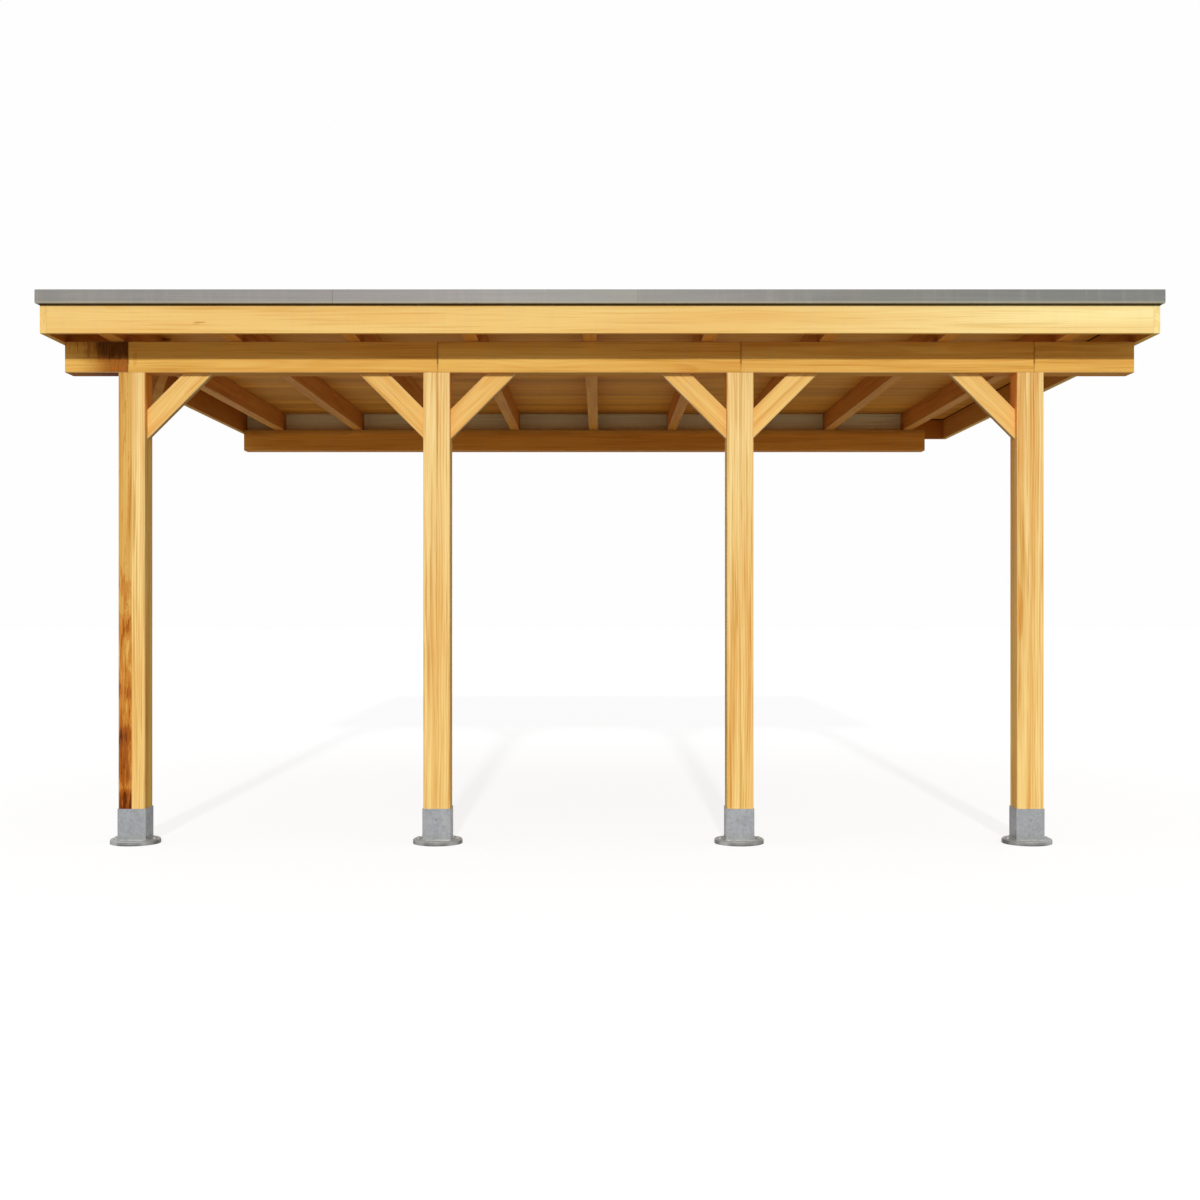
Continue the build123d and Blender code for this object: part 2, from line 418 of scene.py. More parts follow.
def makeFineDust():
    # dust settles on faces that look up, and rain runs down the others in streaks
    upward, cloudScale, clouds = (0.4, 0.95), 6.0, (0.35, 0.7)
    runScale, streaks = (28, 28, 1.6), (0.48, 0.75)
    given = startGroup("fineDust", {
        "Color": grey, "dust": tint(176, 168, 150), "dustOnTop": 0.3, "dustStreaks": 0.15})
    where = objectPlace()
    up = stretch(parts(facingOf())[2], *upward)
    cloud = stretch(noise(where, cloudScale, detail=4.0, roughness=0.6), *clouds)
    settled = times(times(up, cloud), given.dustOnTop)
    runs = stretch(noise(scaled(where, runScale), detail=3.0), *streaks)
    runs = times(times(runs, given.dustStreaks), minus(1.0, up))
    return endGroup({"Color": blend(plus(settled, runs), given.Color, given.dust)})


planedGrain, arrisWearAndHighlight, paintedFacingShade = makePlanedGrain(), makeArrisWearAndHighlight(), makePaintedFacingShade()
stain, runStain, fineDust = makeStain(), makeRunStain(), makeFineDust()


def wearHighlightAndDust(shade, spec):
    # pale edges, partly wear and partly painted highlight, then dust, which every weathered finish
    # ends with
    for group in (arrisWearAndHighlight, fineDust):
        shade = layered(group, shade, spec)
    return shade


print("shared effects made")


# Timber

grainTurns = {  # degrees that turn a piece's coordinates so that its grain lies along X
    "along": (0, 0, 0), "up": (0, 90, 0), "deep": (0, 0, -90),
    "braceRight": (0, 45, 0), "braceLeft": (0, 135, 0), "braceBack": (0, 45, -90),
}
markEntries = ("centre", "reach", "stain", "amount", "ragged")


def timberMaterial(name, middle, direction, seed, look, split=None, marks=(), tones=(),
                   runs=None, boards=False):
    # middle: the piece's centre; split: where two glued boards meet, as an X value;
    # marks: stains, with their entries in the order of markEntries;
    # tones: tints that come in along an axis, as (axis, start, end, tint), and after that the
    # word "inward" where only the faces towards the roof's middle take them;
    # runs: streaks of stain whose amounts follow an axis over a span, left of the limit only
    spec = dict(timber, **look)
    draw = random.Random(seed)
    material = newMaterial(name)
    where = objectPlace()
    place = parts(where)
    turn = [math.radians(angle) for angle in grainTurns[direction]]
    shift = -(Euler(turn).to_matrix() @ Vector(middle))
    heart, slide = spec["heart"], spec["slide"]
    shift += Vector((draw.uniform(-slide, slide),
                     draw.choice((-1, 1)) * heart * draw.uniform(*spec["heartShare"]),
                     draw.uniform(-1, 1) * heart))
    inputs = {"Vector": where, "Rotation": turn, "Location": shift}
    grainAt = firstOut("Mapping", inputs)
    if boards:  # every board carries its own number, which moves it along the pattern
        number = attributeOf("boardTone")
        grainAt = vectorCalc("ADD", grainAt, grown(spec["boardJump"], number))
    if split is not None:
        half = calc("GREATER_THAN", place[0], split)
        grainAt = vectorCalc("ADD", grainAt, grown(spec["halfJump"], half))
    wood = useGroup(planedGrain, spec, Vector=grainAt)
    shade = wood["Color"]
    if boards:
        shade = tinted(shade, stretch(number, 0.0, 1.0, *spec["boardTones"], smooth=False))
    if split is not None:
        line = stretch(calc("ABSOLUTE", minus(place[0], split)), *spec["seamWidths"])
        shade = tinted(shade, spec["seamTint"], times(line, spec["seamAmount"]))
        if "leftTint" in spec:
            shade = tinted(shade, spec["leftTint"], minus(1.0, half))
    away = times(parts(facingOf())[0], calc("SIGN", place[0]))
    inward = stretch(away, *(-share for share in turned))
    for axis, start, end, over, *faces in tones:
        amount = stretch(place[axis], start, end)
        if faces:
            amount = times(amount, inward)
        shade = tinted(shade, over, amount)
    if runs:
        value = stretch(place[runs["axis"]], *runs["span"], smooth=False)
        amount = ramp(value, [(at, (v, v, v, 1)) for at, v in runs["amounts"]])
        if "higher" in runs:  # more of it from the first of these heights to the second
            level = stretch(place[2], *runs["higher"])
            amount = timesPlus(level, runs["more"], amount)
        stained = layered(runStain, shade, runs, Vector=where, amount=amount)
        shade = blend(calc("LESS_THAN", place[0], runs["limit"]), shade, stained)
    for mark in marks:
        shade = layered(stain, shade, Vector=where, **dict(zip(markEntries, mark)))
    # painted shade on side faces and undersides, then pale edges and dust
    shade = wearHighlightAndDust(layered(paintedFacingShade, shade, spec), spec)
    return finishMaterial(material, shade, wood["Roughness"], wood["Height"], spec)


def finishTimber(name, slotName, direction, seed, look, **extras):
    dress(name, timberMaterial(name, middleOf(name), direction, seed, look, **extras))


def marksAt(x, y, rows):
    # rows hold (offset along X, height, reach, colour, amount, raggedness)
    return [((x + along, y, z), *rest) for along, z, *rest in rows]


# The weathered front row

posts = {
    # the side tint here paints light and shade on the posts' side faces: redder and less blue
    "look": {"pale": tint(248, 221, 153), "deep": tint(221, 162, 82), "rings": 0.3,
             "ringSpacing": 0.011, "streaks": 0.56, "lines": 0.8, "sides": 1.0,
             "sideTint": (1.1, 1.04, 0.68, 1)},
    # painted shade: the second tone darkens the inward side faces towards their tops, under the
    # beam
    "tones": [("Z", -0.2, -1.9, (1.0, 0.96, 0.84, 1)),
              ("Z", -0.5, -0.12, (0.93, 0.56, 0.3, 1), "inward")],  # deep under the beam
    "stainedHalf": (0.8, 0.66, 0.42, 1),  # the first post's left board, all the way up
    "paintedLitSide": (1.42, 1.39, 1.2, 1),  # painted light: the last post's side is painted paler, as if it caught more light
    "runs": {
        "axis": "Z", "span": (-2.05, 0.0), "grain": (80, 80, 8),
        "amounts": [(0.01, 0.88), (0.038, 0.86), (0.052, 0.68), (0.075, 0.73), (0.1, 0.73),
                    (0.14, 0.76), (0.165, 0.82), (0.192, 0.62), (0.24, 0.55), (0.262, 0.66),
                    (0.3, 0.58), (0.375, 0.52), (0.4, 0.64), (0.43, 0.57), (0.46, 0.48),
                    (0.5, 0.53), (0.58, 0.4), (0.75, 0.41), (1.0, 0.38)],
        "light": tint(196, 124, 44), "middle": tint(156, 80, 20), "dark": tint(100, 44, 12),
    },
}

for number in range(1, 5):
    name = f"post_{number}"
    middleX = middleOf(name).x
    look, runs = dict(posts["look"]), None
    if number == 1:
        look["leftTint"] = posts["stainedHalf"]
        runs = dict(posts["runs"], limit=middleX)
    if number == 4:
        look["sideTint"] = posts["paintedLitSide"]
    finishTimber(name, "post_timber", "up", 20 + number, look, split=middleX,
                 tones=posts["tones"], runs=runs)

resin = tint(196, 92, 24)
beams = {
    "look": {"pale": tint(241, 196, 104), "deep": tint(214, 145, 54), "knots": 0.02},
    # painted shade: the beam's upper part, where the roof's shadow falls, is tinted deeper and
    # warmer
    "tones": [("Z", -0.035, 0.03, (1.0, 0.86, 0.6, 1))],  # deeper towards its top
    "jointMarks": [  # end grain darkens each joint a little
        (0, 0.02, (0.005, 0.08, 0.09), tint(150, 84, 28), 0.4, 0.2),
        (0, -0.02, (0.005, 0.05, 0.012), tint(110, 58, 20), 0.4, 0.2)],
    "bayMark": (0.03, -0.01, (0.012, 0.09, 0.04), resin, 0.25, 0.5),
    "endMarks": [  # soot and resin on the left end piece, from its joint
        (-0.03, 0.05, (0.15, 0.08, 0.06), tint(62, 32, 8), 0.6, 0.3),
        (-0.06, -0.053, (0.013, 0.05, 0.008), resin, 0.5, 0.3),
        (-0.03, -0.05, (0.011, 0.05, 0.01), resin, 0.4, 0.3)],
    # painted shade: the left end piece's undersides are tinted much darker
    "endUnderShade": (0.5, 0.31, 0.06, 1),
    "sooty": (0.6, 0.46, 0.32, 1),  # the left end darkens towards the first post,
    "sootyInsets": ((0.03, 0.09), (0.12, 0.03)),  # twice, over these parts of its length
    "spliceReach": 0.01,  # a splice this near to a piece marks it
    "runs": {
        "axis": "X", "span": (-2.42, -2.12), "grain": (150, 60, 14),
        "higher": (-0.04, 0.03), "more": 0.16, "limit": -2.0,
        "amounts": [(0.0, 0.22), (0.3, 0.32), (0.6, 0.46), (1.0, 0.58)],
        "light": tint(170, 104, 40), "middle": tint(130, 74, 26), "dark": tint(80, 42, 14),
    },
}

splices = [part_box("front_beam_" + end)[0].x for end in ("bay_1", "bay_2", "bay_3", "right_end")]
for number, name in enumerate(sorted(n for n in nodes if n.startswith("front_beam"))):
    low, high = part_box(name)
    marks = []
    for x in splices:
        if low.x - beams["spliceReach"] < x < high.x + beams["spliceReach"]:
            marks += marksAt(x, low.y, beams["jointMarks"])
    look, runs, tones = dict(beams["look"]), None, list(beams["tones"])
    if name == "front_beam_left_end":
        look["belowTint"] = beams["endUnderShade"]
        runs = beams["runs"]
        for start, end in beams["sootyInsets"]:
            tones.append(("X", low.x + start, high.x - end, beams["sooty"]))
        marks += marksAt(high.x, low.y, beams["endMarks"])
    if name == "front_beam_bay_1":
        marks += marksAt(low.x, low.y, [beams["bayMark"]])
    finishTimber(name, "beam_timber", "along", 40 + number, look, marks=marks, tones=tones,
                 runs=runs)

# painted shade: the braces' lower faces are tinted much deeper, at twice the usual strength
braces = {"look": {"pale": tint(243, 203, 124), "deep": tint(220, 156, 66),
                   "below": 2.0, "belowTint": (0.5, 0.36, 0.12, 1)}}

for name in sorted(n for n in nodes if n.startswith("brace")):
    number, side = int(name[11]), name.split("_")[-1]
    finishTimber(name, "brace_timber", "brace" + side.capitalize(), 60 + 2 * number + len(side),
                 braces["look"])

fascias = {
    "look": {"pale": tint(240, 203, 126), "deep": tint(224, 166, 82), "rings": 0.16,
             "streaks": 0.34, "lines": 0.36},
    "paintedRightLight": ("X", 0.45, 2.3, (1.12, 1.36, 1.8, 1)),  # painted light: paler towards the right end, as if more light fell there
    "drip": (0.0105, 0.0085, (0.13, 0.12, 0.09, 1)),  # painted shadow: a dark line under the edge trim
    "inside": (0.62, 0.34, 0.12, 1),  # painted shade: inner faces are tinted deeper, which comes in here:
    "backFrom": 0.02, "backTo": 0.012, "vergeFade": 0.1,
    "marks": [
        (-1.745, 0.113, (0.03, 0.05, 0.003), tint(150, 92, 40), 0.6, 0.1),
        (-1.76, 0.106, (0.02, 0.05, 0.002), tint(150, 92, 40), 0.4, 0.1),
        (-0.9, 0.13, (0.25, 0.05, 0.03), tint(232, 176, 90), 0.25, 0.3)],
}

trimLow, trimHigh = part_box("edge_trim_front")
# painted shadow under the edge trim, for the fascias and verges
start, end, over = fascias["drip"]
drip = ("Z", trimLow.z - start, trimLow.z - end, over)
frontY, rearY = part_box("front_fascia")[0].y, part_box("rear_fascia")[0].y
finishTimber("front_fascia", "fascia_timber", "along", 100, fascias["look"],
             marks=marksAt(0, frontY, fascias["marks"]), tones=[drip, fascias["paintedRightLight"]])
# painted shade on the rear fascia's inner face
back = ("Y", rearY + fascias["backFrom"], rearY + fascias["backTo"], fascias["inside"])
finishTimber("rear_fascia", "fascia_timber", "along", 101, fascias["look"], tones=[drip, back])
for number, name in enumerate(("verge_board_left", "verge_board_right")):
    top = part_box(name)[1].z
    # painted shade on the verges' inner faces
    inner = ("Z", top + fascias["vergeFade"], top, fascias["inside"], "inward")
    finishTimber(name, "fascia_timber", "deep", 110 + number, dict(fascias["look"], sides=0.0),
                 tones=[drip, fascias["paintedRightLight"], inner])

# What the roof shelters, with painted shade and light: the ledger and rafters are painted deeper
# and warmer, the infill boards pale for their shaded fronts

sheltered = {
    "ledger": {"pale": tint(240, 168, 66), "deep": tint(200, 120, 36),
               "belowTint": (0.9, 0.8, 0.4, 1)},
    "ledgerTones": [("Z", 0.03, 0.066, (0.72, 0.78, 0.89, 1))],  # shade under the rafters
    # the rafters' side and below tints paint their shade
    "rafters": {"pale": tint(226, 160, 76), "deep": tint(192, 116, 42),
                "sides": 1.0, "sideTint": (0.9, 0.78, 0.6, 1), "belowTint": (1.0, 1.0, 0.8, 1)},
    "infill": {"pale": tint(254, 248, 198), "deep": tint(240, 226, 170)},
    "infillBack": (0.5, 0.36, 0.2, 1),  # painted light undone on the boards' rear halves, which are tinted back down
}

finishTimber("rear_beam", "beam_timber", "along", 71, sheltered["ledger"],
             tones=sheltered["ledgerTones"])
for number in range(1, 10):
    finishTimber(f"rafter_{number}", "rafter_timber", "deep", 80 + number, sheltered["rafters"])
    name = f"rafter_infill_{number}"
    backs = [("Y", middleOf(name).y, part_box(name)[1].y, sheltered["infillBack"])]
    finishTimber(name, "infill_timber", "along", 90 + number, sheltered["infill"], tones=backs)
print("timber finished")


# Helpers for pieces that repeat

def shape(kind, inputs=None, **settings):
    return firstOut("GeometryNode" + kind, inputs, **settings)


def startBuild(name, values):
    bench.tree = bpy.data.node_groups.new(name, "GeometryNodeTree")
    for side in ("INPUT", "OUTPUT"):
        addSocket(side, "Geometry", "Geometry")
    return addInputs(values)


def endBuild(geometry, given):
    real = shape("RealizeInstances", {0: geometry})
    painted = shape("SetMaterial", {"Geometry": real, "Material": given.finish})
    put("NodeGroupOutput", {0: painted})
    return bench.tree


def rectangle(width, height):
    return shape("CurvePrimitiveQuadrilateral", {"Width": width, "Height": height})


def rounded(curve, steps, radius):
    return shape("FilletCurve", {"Curve": curve, "Count": steps, "Radius": radius}, mode="POLY")


def swept(path, section):
    return shape("CurveToMesh", {"Curve": path, "Profile Curve": section, "Fill Caps": True})


def onPoints(points, instance, inputs=None):
    return shape("InstanceOnPoints", {"Points": points, "Instance": instance, **(inputs or {})})


def placed(geometry, inputs):
    return shape("SetPosition", {0: geometry, **inputs})


def growPiece(name, tree, values, points, smooth=False):
    # runs the tree on a few points and keeps the result as a plain mesh
    mesh = bpy.data.meshes.new(name)
    mesh.from_pydata(points, [], [])
    piece = addObject(name, mesh)
    build = piece.modifiers.new("build", "NODES")
    build.node_group = tree
    for item in tree.interface.items_tree:
        if item.name in values:
            build[item.identifier] = values[item.name]
    depsgraph = bpy.context.evaluated_depsgraph_get()
    made = bpy.data.meshes.new_from_object(piece.evaluated_get(depsgraph),
                                           preserve_all_data_layers=True, depsgraph=depsgraph)
    piece.modifiers.clear()
    piece.data = made
    made.polygons.foreach_set("use_smooth", [smooth] * len(made.polygons))
    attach(piece, "root")
    return piece


# Roof deck: grooved boards with staggered joints on the rafters

deck = {
    "coverWidth": 0.1214,  # from one board to the next, before the rows are made to fit
    "firstJoint": 2,  # the first rafter that carries joints
    "build": {"gap": 0.0012, "chamfer": 0.003, "seed": 5},
    # painted shade: the deck's colours are deeper and warmer, to stand for the shade under the
    # roof
    "look": {"pale": tint(236, 170, 72), "deep": tint(190, 120, 42), "knots": 0.05,
             "rings": 0.3, "streaks": 0.45, "belowTint": (1.0, 0.95, 0.7, 1)},
}


def makeDeckTree(values):
    # three boards to a row, and their joints step from rafter to rafter
    given = startBuild("deckBoards", values)
    line = shape("MeshLine", {"Count": times(given.rows, 3.0), "Offset": (0, 0, 0)})
    index = shape("InputIndex")
    row = calc("FLOOR", calc("DIVIDE", plus(index, 0.5), 3.0))
    part = minus(index, times(row, 3.0))
    isFirst = calc("LESS_THAN", part, 0.5)
    isLast = calc("GREATER_THAN", part, 1.5)
    isMiddle = minus(minus(1.0, isFirst), isLast)

    def pick(first, middle, last):
        value = timesPlus(isMiddle, middle, times(isFirst, first))
        return timesPlus(isLast, last, value)

    step = calc("FLOORED_MODULO", times(row, 2.0), 3.0)
    nearJoint = timesPlus(given.pitch, step, given.jointX)
    step = plus(calc("FLOORED_MODULO", row, 3.0), 4.0)
    farJoint = timesPlus(given.pitch, step, given.jointX)
    start = pick(given.leftX, nearJoint, farJoint)
    end = pick(nearJoint, farJoint, given.rightX)
    length = minus(minus(end, start), given.gap)
    x = timesPlus(given.gap, 0.5, start)
    y = timesPlus(plus(row, 0.5), given.coverWidth, given.frontY)
    spots = placed(line, {"Position": vectorOf(x, y, given.middleZ)})
    width = minus(given.coverWidth, given.gap)
    section = rounded(rectangle(width, given.thickness), 1, given.chamfer)
    run = shape("CurvePrimitiveLine", {"End": (1, 0, 0)})
    boards = onPoints(spots, swept(run, section), {"Scale": vectorOf(length, 1.0, 1.0)})
    tone = put("FunctionNodeRandomValue", {"Seed": given.seed}).outputs[1]
    inputs = {"Geometry": boards, "Name": "boardTone", "Value": tone}
    marked = shape("StoreNamedAttribute", inputs, data_type="FLOAT", domain="INSTANCE")
    return endBuild(marked, given)


low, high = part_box("roof_deck")
firstRafter = middleOf("rafter_1").x
pitch = middleOf("rafter_2").x - firstRafter
rows = round((high.y - low.y) / deck["coverWidth"])
deckWood = timberMaterial("deckWood", (low + high) / 2, "along", 7, deck["look"], boards=True)
values = dict(deck["build"], rows=rows, coverWidth=(high.y - low.y) / rows,
              thickness=high.z - low.z, leftX=low.x, rightX=high.x,
              jointX=firstRafter + (deck["firstJoint"] - 1) * pitch, pitch=pitch,
              frontY=low.y, middleZ=(low.z + high.z) / 2, finish=deckWood)
deckBoards = growPiece("deck_boards", makeDeckTree(values), values, [(0, 0, 0)])
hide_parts("roof_deck")
print("deck laid:", rows, "rows")


# Edge trims: folded metal in lengths, with mitred corners

trims = {
    "sheet": 0.002,
    "bend": 0.0025,  # radius of the folds, on the sheet's middle
    "kerb": 0.030, "flange": 0.040, "seat": 0.003, "lip": 0.008, "mitreGap": 0.0003,
    "connectorSheet": 0.0016, "connectorHalf": 0.04, "connectorTone": 0.6,
    "connectorFoot": 0.009, "connectorEnd": 0.006,  # above the deck, above the face's end
    "play": 0.0004,  # between a trim and the connector behind its joint
    "sides": {  # joints as (place, gap), then how bright each length is
        "front": ([(-1.163, 0.0016), (0.161, 0.0004)], (0.98, 1.0, 0.87)),
        "rear": ([(-0.9, 0.0012), (0.6, 0.0012)], (1.0, 0.96, 1.02)),
        "left": ([(-2.3, 0.0012), (-0.9, 0.0012)], (0.98, 1.02, 0.97)),
        "right": ([(-2.3, 0.0012), (-0.9, 0.0012)], (1.0, 0.97, 1.02))},
    # painted reflection: along X the grey is lighter in the middle and darker towards the right
    # end
    "tones": [(0.02, tint(133, 129, 124)), (0.216, tint(138, 133, 129)),
              (0.394, tint(146, 141, 137)), (0.53, tint(144, 141, 133)),
              (0.606, tint(139, 134, 129)), (0.748, tint(125, 124, 115)),
              (0.943, tint(123, 123, 118))],
    "toneReach": 2.45,  # the tones run from here left of the middle to here right of it
    # painted highlight: a lighter, warmer band on the lower fold
    "hem": tint(166, 156, 128), "hemAmount": 0.6,
    "hemHeights": (0.0105, 0.007),  # above the trim's lower edge, where the hem's painted highlight comes in
    "worn": tint(186, 184, 180), "wear": 0.25, "dustOnTop": 0.45, "dustStreaks": 0.12,
    "bandScale": (1.5, 1.5, 150), "bandTones": (0.94, 1.06),
    "cloudScale": (3.2, 3.2, 20), "cloudTones": (0.9, 1.1), "cloudHeight": 3.0,
    "noiseSpan": (0.3, 0.7),  # most of a noise's values lie in between
    "fineScale": 420.0, "roughness": (0.42, 0.58), "shine": 0.35, "bumpDepth": 0.0003,
}


def bentStrip(points, thickness, radius, steps=4):
    # the outline of a folded sheet whose middle follows the points, with rounded bends
    path = [Vector(p) for p in points]
    line = []
    for k, here in enumerate(path):
        if k == 0 or k == len(path) - 1:
            along = (path[1] - here) if k == 0 else (here - path[-2])
            along.normalize()
            line.append((here, Vector((-along.y, along.x))))
            continue
        before, after = (here - path[k - 1]).normalized(), (path[k + 1] - here).normalized()
        left = Vector((-before.y, before.x))
        side = 1 if before.x * after.y > before.y * after.x else -1
        middle = here - before * radius + left * radius * side
        for n in range(steps + 1):
            angle = quarterTurn * n / steps
            normal = left * math.cos(angle) - before * math.sin(angle) * side
            line.append((middle - normal * radius * side, normal))
    half = thickness / 2
    return [p + n * half for p, n in line] + [p - n * half for p, n in reversed(line)]


def foldedPiece(name, outline, spans, material):
    # spans: (start, end, tone); start and end turn a point of the outline into a place
    body = bmesh.new()
    tone = body.verts.layers.float.new("lengthTone")
    count = len(outline)
    for start, end, value in spans:
        rings = []
        for place in (start, end):
            ring = [body.verts.new(place(u, w)) for u, w in outline]
            for vertex in ring:
                vertex[tone] = value
            rings.append(ring)
        near, far = rings
        for k in range(count):
            after = (k + 1) % count
            body.faces.new((near[k], near[after], far[after], far[k]))
        body.faces.new(list(reversed(near)))
        body.faces.new(far)
    bmesh.ops.recalc_face_normals(body, faces=body.faces)
    mesh = bpy.data.meshes.new(name)
    body.to_mesh(mesh)
    body.free()
    mesh.materials.append(material)
    piece = addObject(name, mesh)
    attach(piece, "root")
    return piece


def trimMaterial():
    material = newMaterial("greyTrim")
    where = objectPlace()
    place = parts(where)
    # painted reflection along X
    reach = trims["toneReach"]
    shade = ramp(stretch(place[0], -reach, reach, smooth=False), trims["tones"])
    shade = tinted(shade, attributeOf("lengthTone"))
    span = trims["noiseSpan"]
    bands = noise(scaled(where, trims["bandScale"]))
    shade = tinted(shade, stretch(bands, *span, *trims["bandTones"]))
    # painted highlight on the lower fold
    lower = stretch(place[2], *(trimLow.z + height for height in trims["hemHeights"]))
    shade = blend(times(lower, trims["hemAmount"]), shade, trims["hem"])
    cloud = noise(scaled(where, trims["cloudScale"]), detail=5.0, roughness=0.7)
    shade = tinted(shade, stretch(cloud, *span, *trims["cloudTones"]))
    rough = stretch(cloud, *span, *trims["roughness"])
    height = timesPlus(cloud, trims["cloudHeight"], noise(where, trims["fineScale"]))
    return finishMaterial(material, wearHighlightAndDust(shade, trims), rough, height, trims)


# The section runs from the flange on the deck, up the kerb, over and down the face to a lip

roofLow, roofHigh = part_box("roof_membrane")
deckTop = roofLow.z
face = roofLow.y - trimLow.y  # how far the trim's face stands out
rise, bottom = trimHigh.z - deckTop, trimLow.z - deckTop
half = trims["sheet"] / 2
trimOutline = bentStrip([
    (-trims["kerb"] - trims["flange"], trims["seat"] + half),
    (-trims["kerb"] + half, trims["seat"] + half),
    (-trims["kerb"] + half, rise - half), (face - half, rise - half),
    (face - half, bottom + half), (face - trims["sheet"] - trims["lip"], bottom + half),
], trims["sheet"], trims["bend"])
inset = trims["sheet"] + trims["play"] + half
connectorOutline = bentStrip([
    (-trims["kerb"] + inset, trims["connectorFoot"]), (-trims["kerb"] + inset, rise - inset),
    (face - inset, rise - inset), (face - inset, bottom + trims["connectorEnd"]),
], trims["connectorSheet"], trims["bend"])
greyTrim = trimMaterial()


def trimPlaces(side):
    # turns a point of the section into a place on that side of the roof: at a corner or at a joint
    across = side in ("front", "rear")
    outward = -1 if side in ("front", "left") else 1
    edge = (roofLow if outward < 0 else roofHigh)[1 if across else 0]
    ends = [corner[0 if across else 1] for corner in (roofLow, roofHigh)]

    def spot(t, u, w):
        if across:
            return (t, edge + outward * u, deckTop + w)
        return (edge + outward * u, t, deckTop + w)

    def corner(k):
        away = (-1, 1)[k]
        return lambda u, w: spot(ends[k] + away * (u - trims["mitreGap"]), u, w)

    def joint(t):
        return lambda u, w: spot(t, u, w)
    return corner, joint


for side, (joints, tones) in trims["sides"].items():
    corner, joint = trimPlaces(side)
    stops = [corner(0)]
    for at, gap in joints:
        stops += [joint(at - gap / 2), joint(at + gap / 2)]
    stops.append(corner(1))
    spans = [(stops[2 * k], stops[2 * k + 1], tone) for k, tone in enumerate(tones)]
    trim = foldedPiece(f"trim_{side}", trimOutline, spans, greyTrim)
    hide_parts(f"edge_trim_{side}")
    reach = trims["connectorHalf"]
    spans = [(joint(at - reach), joint(at + reach), trims["connectorTone"]) for at, gap in joints]
    foldedPiece(f"trim_connectors_{side}", connectorOutline, spans, greyTrim)
print("edge trims folded")


# Roof covering: laid sheet with laps, and a strip bonded over the trims' flanges

covering = {
    "laps": {"spacing": 0.99, "width": 0.09, "thickness": 0.0016, "wander": 0.004,
             "wanderScale": 9.0, "steps": 160, "seed": 3},
    "firstLap": 0.7738, "lastMargin": 0.3,  # from the roof's front and rear edges
    "lapInset": 0.005, "edgeReach": 0.15, "edgeThickness": 0.0018, "upstand": 0.014,
    "sheet": tint(66, 67, 69), "grit": tint(98, 98, 97), "lap": tint(48, 49, 51),
    "dirt": tint(84, 82, 76), "dirtAmount": 0.25, "dustOnTop": 0.12, "dustStreaks": 0.0,
    "gritScale": 520.0, "speckScale": 700.0, "specks": (0.45, 0.62),
    "cloudScale": 1.3, "clouds": (0.3, 0.72), "waveScale": (1.5, 6, 1), "waveHeight": 6.0,
    "roughness": (0.78, 0.92), "shine": 0.25, "bumpDepth": 0.0006,
}


def coveringMaterial(name, base):
    material = newMaterial(name)
    where = objectPlace()
    grit = put("TexVoronoi", {"Vector": where, "Scale": covering["gritScale"]})
    specks = stretch(noise(where, covering["speckScale"], detail=1.0), *covering["specks"])
    cloud = noise(where, covering["cloudScale"], detail=4.0, roughness=0.6)
    cloud = stretch(cloud, *covering["clouds"])
    shade = blend(specks, base, covering["grit"])
    shade = blend(times(cloud, covering["dirtAmount"]), shade, covering["dirt"])
    shade = layered(fineDust, shade, covering)
    rough = stretch(cloud, 0.0, 1.0, *covering["roughness"], smooth=False)
    waves = noise(scaled(where, covering["waveScale"]))
    height = timesPlus(waves, covering["waveHeight"], grit.outputs["Distance"])
    return finishMaterial(material, shade, rough, height, covering)


def makeLapTree(values):
    # flat strips across the roof, whose edges sway a little
    given = startBuild("sheetLaps", values)
    start = vectorOf(times(given.length, -0.5))
    end = vectorOf(times(given.length, 0.5))
    run = shape("CurvePrimitiveLine", {"Start": start, "End": end})
    run = shape("ResampleCurve", {"Curve": run, "Count": given.steps})
    strip = swept(run, rectangle(given.width, given.thickness))
    rows = shape("MeshLine", {"Count": given.count, "Offset": vectorOf(0.0, given.spacing)})
    real = shape("RealizeInstances", {0: onPoints(rows, strip)})
    shift = vectorOf(times(given.seed, 3.7))  # another seed, another sway
    waveAt = vectorCalc("ADD", shape("InputPosition"), shift)
    wave = minus(noise(waveAt, given.wanderScale, detail=3.0), 0.5)
    sway = vectorOf(0.0, times(wave, given.wander))
    swayed = placed(real, {"Offset": sway})
    return endBuild(onPoints(given.Geometry, swayed), given)


dress("roof_membrane", coveringMaterial("roofSheet", covering["sheet"]))
lapFinish = coveringMaterial("roofLap", covering["lap"])
flangeEnd = trims["kerb"] + trims["flange"]
laps = covering["laps"]
lapCount = int((roofHigh.y - roofLow.y - covering["lastMargin"]) / laps["spacing"])
values = dict(laps, count=lapCount, finish=lapFinish,
              length=roofHigh.x - roofLow.x - 2 * (flangeEnd + covering["lapInset"]))
firstSpot = (0, roofLow.y + covering["firstLap"], roofHigh.z + laps["thickness"] / 2)
growPiece("roof_laps", makeLapTree(values), values, [firstSpot])

inner, seat, over = trims["kerb"] + 0.002, trims["seat"], trims["seat"] + trims["sheet"]
reach, thick, top = covering["edgeReach"], covering["edgeThickness"], over + covering["upstand"]
stripOutline = [  # up the kerb, over the trim's flange and down onto the sheet
    (-inner, top), (-inner - 0.002, top), (-inner - 0.0035, over + 0.0035),
    (-flangeEnd - 0.002, over + thick), (-flangeEnd - 0.008, seat + thick),
    (-reach, seat + thick * 0.8), (-reach, seat + 0.0001), (-flangeEnd - 0.003, seat + 0.0001),
    (-flangeEnd - 0.001, over + 0.0002), (-inner, over + 0.0002)]
for side in trims["sides"]:
    corner = trimPlaces(side)[0]
    foldedPiece(f"edge_strip_{side}", stripOutline, [(corner(0), corner(1), 1.0)], lapFinish)
print("covering laid:", lapCount, "laps")


# Steel shoes and fixings

